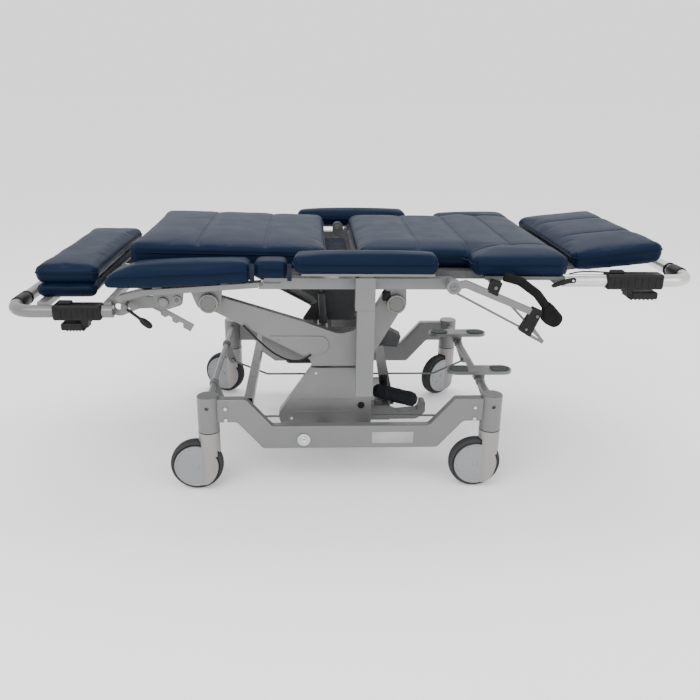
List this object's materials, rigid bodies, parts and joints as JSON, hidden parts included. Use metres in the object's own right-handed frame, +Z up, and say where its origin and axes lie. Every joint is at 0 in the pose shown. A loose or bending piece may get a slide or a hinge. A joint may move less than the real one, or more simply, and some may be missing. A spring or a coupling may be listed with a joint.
{
  "type": "stretcher trolley",
  "caption": "Convertible chair stretcher on swivel casters: padded seat, backrest, head and foot sections on a V yoke over a lift column, with push bars and brake pedals.",
  "frame": {"origin": "on the floor under the middle of the trolley", "axes": "+X towards the head section, +Y towards the far long side, +Z up"},
  "size_m": [1.883, 0.8219, 0.7098],
  "materials": {
    "frame_paint": "silver-grey powder coat",
    "bright_metal": "satin steel tube",
    "fork_metal": "light silver",
    "tyre": "dark grey solid tread",
    "black_plastic": "moulded black",
    "grip_rubber": "black foam",
    "vinyl": "navy vinyl cover",
    "board": "dark grey"
  },
  "bodies": {
    "base": {"base_rail_near": "frame_paint", "base_rail_far": "frame_paint", "caster_sockets": "frame_paint", "base_crossbeams": "frame_paint", "outer_column": "frame_paint", "lower_covers": "frame_paint", "drive_case": "frame_paint", "drive_boot": "black_plastic", "lift_motor": "black_plastic", "base_fasteners": "bright_metal"},
    "brake_head": {"brake_pedal_shaft": "frame_paint"},
    "brake_foot": {"brake_foot_shaft": "frame_paint"},
    "brake_link": {"brake_rods": "bright_metal"},
    "lift_middle": {"lift_stage": "frame_paint"},
    "lift_inner": {"inner_column": "frame_paint"},
    "deck": {"yoke_near": "frame_paint", "yoke_far": "frame_paint", "cross_tubes": "frame_paint", "seat_rail_near": "frame_paint", "seat_rail_far": "frame_paint", "side_tubes": "frame_paint", "seat_pan": "board", "arm_sleeves": "frame_paint", "motor_box": "black_plastic", "back_actuator": "board", "control_cable": "black_plastic", "seat_pad": "vinyl", "side_pads": "vinyl"},
    "armrest_near": {"arm_post_near": "frame_paint", "arm_pad_near": "vinyl"},
    "armrest_far": {"arm_post_far": "frame_paint", "arm_pad_far": "vinyl"},
    "backrest": {"back_frame": "frame_paint", "back_pad": "vinyl", "wing_pads": "vinyl", "head_push_bar": "bright_metal", "head_handsets": "black_plastic", "backrest_cable": "black_plastic"},
    "back_release": {"back_lever": "black_plastic"},
    "head_squeeze": {"head_triggers": "black_plastic"},
    "headrest": {"head_frame": "frame_paint", "head_pad": "vinyl"},
    "foot_section": {"leg_frame": "frame_paint", "foot_pads": "vinyl", "foot_handsets": "black_plastic"},
    "foot_squeeze": {"foot_triggers": "black_plastic"},
    "racks": {"ratchet_racks": "frame_paint"},
    "latch": {"latch_lever": "bright_metal"},
    "side_rail_near": {"side_rail_near": "frame_paint", "side_handle_near": "grip_rubber"},
    "side_rail_far": {"side_rail_far": "frame_paint", "side_handle_far": "grip_rubber"},
    "caster_foot_near": {"caster_fork_foot_near": "fork_metal"},
    "wheel_foot_near": {"caster_wheel_foot_near": "tyre"},
    "caster_foot_far": {"caster_fork_foot_far": "fork_metal"},
    "wheel_foot_far": {"caster_wheel_foot_far": "tyre"},
    "caster_head_near": {"caster_fork_head_near": "fork_metal"},
    "wheel_head_near": {"caster_wheel_head_near": "tyre"},
    "caster_head_far": {"caster_fork_head_far": "fork_metal"},
    "wheel_head_far": {"caster_wheel_head_far": "tyre"}
  },
  "joints": [
    {"name": "swivel_foot_near", "type": "hinge", "parent": "base", "child": "caster_foot_near", "pos_m": [-0.3995, -0.357, 0.2], "axis": [0, 0, 1], "continuous": true},
    {"name": "roll_foot_near", "type": "hinge", "parent": "caster_foot_near", "child": "wheel_foot_near", "pos_m": [-0.4375, -0.357, 0.075], "axis": [0, 1, 0], "continuous": true},
    {"name": "swivel_foot_far", "type": "hinge", "parent": "base", "child": "caster_foot_far", "pos_m": [-0.3995, 0.357, 0.2], "axis": [0, 0, 1], "continuous": true},
    {"name": "roll_foot_far", "type": "hinge", "parent": "caster_foot_far", "child": "wheel_foot_far", "pos_m": [-0.43521, 0.37, 0.075], "axis": [0.342, 0.9397, 0], "continuous": true},
    {"name": "swivel_head_near", "type": "hinge", "parent": "base", "child": "caster_head_near", "pos_m": [0.3995, -0.357, 0.2], "axis": [0, 0, 1], "continuous": true},
    {"name": "roll_head_near", "type": "hinge", "parent": "caster_head_near", "child": "wheel_head_near", "pos_m": [0.3615, -0.357, 0.075], "axis": [0, 1, 0], "continuous": true},
    {"name": "swivel_head_far", "type": "hinge", "parent": "base", "child": "caster_head_far", "pos_m": [0.3995, 0.357, 0.2], "axis": [0, 0, 1], "continuous": true},
    {"name": "roll_head_far", "type": "hinge", "parent": "caster_head_far", "child": "wheel_head_far", "pos_m": [0.36876, 0.33466, 0.075], "axis": [-0.5878, 0.809, 0], "continuous": true},
    {"name": "brake_pedal", "type": "hinge", "parent": "base", "child": "brake_head", "pos_m": [0.3995, 0, 0.262], "axis": [0, -1, 0], "range_deg": [-12, 12]},
    {"name": "brake_foot_turn", "type": "hinge", "parent": "base", "child": "brake_foot", "pos_m": [-0.3995, 0, 0.262], "axis": [0, -1, 0], "range_deg": [-12, 12]},
    {"name": "brake_link_turn", "type": "hinge", "parent": "brake_head", "child": "brake_link", "pos_m": [0.4195, 0, 0.21], "axis": [0, -1, 0], "range_deg": [-12, 12]},
    {"name": "lift_first", "type": "slide", "parent": "base", "child": "lift_middle", "axis": [0, 0, 1], "range_m": [0, 0.12]},
    {"name": "lift_second", "type": "slide", "parent": "lift_middle", "child": "lift_inner", "axis": [0, 0, 1], "range_m": [0, 0.12]},
    {"name": "deck_tilt", "type": "hinge", "parent": "lift_inner", "child": "deck", "pos_m": [-0.077, 0, 0.412], "axis": [0, -1, 0], "range_deg": [-6, 10]},
    {"name": "armrest_near_slide", "type": "slide", "parent": "deck", "child": "armrest_near", "axis": [0, 0, 1], "range_m": [0, 0.16]},
    {"name": "armrest_far_slide", "type": "slide", "parent": "deck", "child": "armrest_far", "axis": [0, 0, 1], "range_m": [0, 0.16]},
    {"name": "backrest_hinge", "type": "hinge", "parent": "deck", "child": "backrest", "pos_m": [-0.02, 0, 0.64], "axis": [0, -1, 0], "range_deg": [0, 70]},
    {"name": "back_release_turn", "type": "hinge", "parent": "backrest", "child": "back_release", "pos_m": [0.588, -0.368, 0.618], "axis": [0, -1, 0], "range_deg": [0, 12], "stiffness_Nm_per_rad": 0.5},
    {"name": "head_squeeze_turn", "type": "hinge", "parent": "backrest", "child": "head_squeeze", "pos_m": [0.754, 0, 0.583], "axis": [0, -1, 0], "range_deg": [0, 5], "stiffness_Nm_per_rad": 1.5},
    {"name": "headrest_hinge", "type": "hinge", "parent": "backrest", "child": "headrest", "pos_m": [0.597, 0, 0.622], "axis": [0, -1, 0], "range_deg": [0, 20]},
    {"name": "foot_section_hinge", "type": "hinge", "parent": "deck", "child": "foot_section", "pos_m": [-0.509, 0, 0.543], "axis": [0, -1, 0], "range_deg": [0, 75]},
    {"name": "foot_squeeze_turn", "type": "hinge", "parent": "foot_section", "child": "foot_squeeze", "pos_m": [-0.712, 0, 0.494], "axis": [0, 1, 0], "range_deg": [0, 5], "stiffness_Nm_per_rad": 1.5},
    {"name": "rack_turn", "type": "hinge", "parent": "foot_section", "child": "racks", "pos_m": [-0.545, 0, 0.531], "axis": [0, -1, 0], "range_deg": [-75, 0]},
    {"name": "latch_turn", "type": "hinge", "parent": "foot_section", "child": "latch", "pos_m": [-0.604, -0.361, 0.54], "axis": [0, -1, 0], "range_deg": [0, 20]},
    {"name": "side_rail_near_hinge", "type": "hinge", "parent": "deck", "child": "side_rail_near", "pos_m": [0.262, -0.396, 0.607], "axis": [0, -1, 0], "range_deg": [0, 70]},
    {"name": "side_rail_far_hinge", "type": "hinge", "parent": "deck", "child": "side_rail_far", "pos_m": [0.262, 0.396, 0.607], "axis": [0, -1, 0], "range_deg": [0, 70]}
  ],
  "couplings": [
    {"joint": "brake_foot_turn", "follows": "brake_pedal", "ratio": 1},
    {"joint": "brake_link_turn", "follows": "brake_pedal", "ratio": -1},
    {"joint": "lift_second", "follows": "lift_first", "ratio": 1},
    {"joint": "rack_turn", "follows": "foot_section_hinge", "ratio": -1}
  ]
}
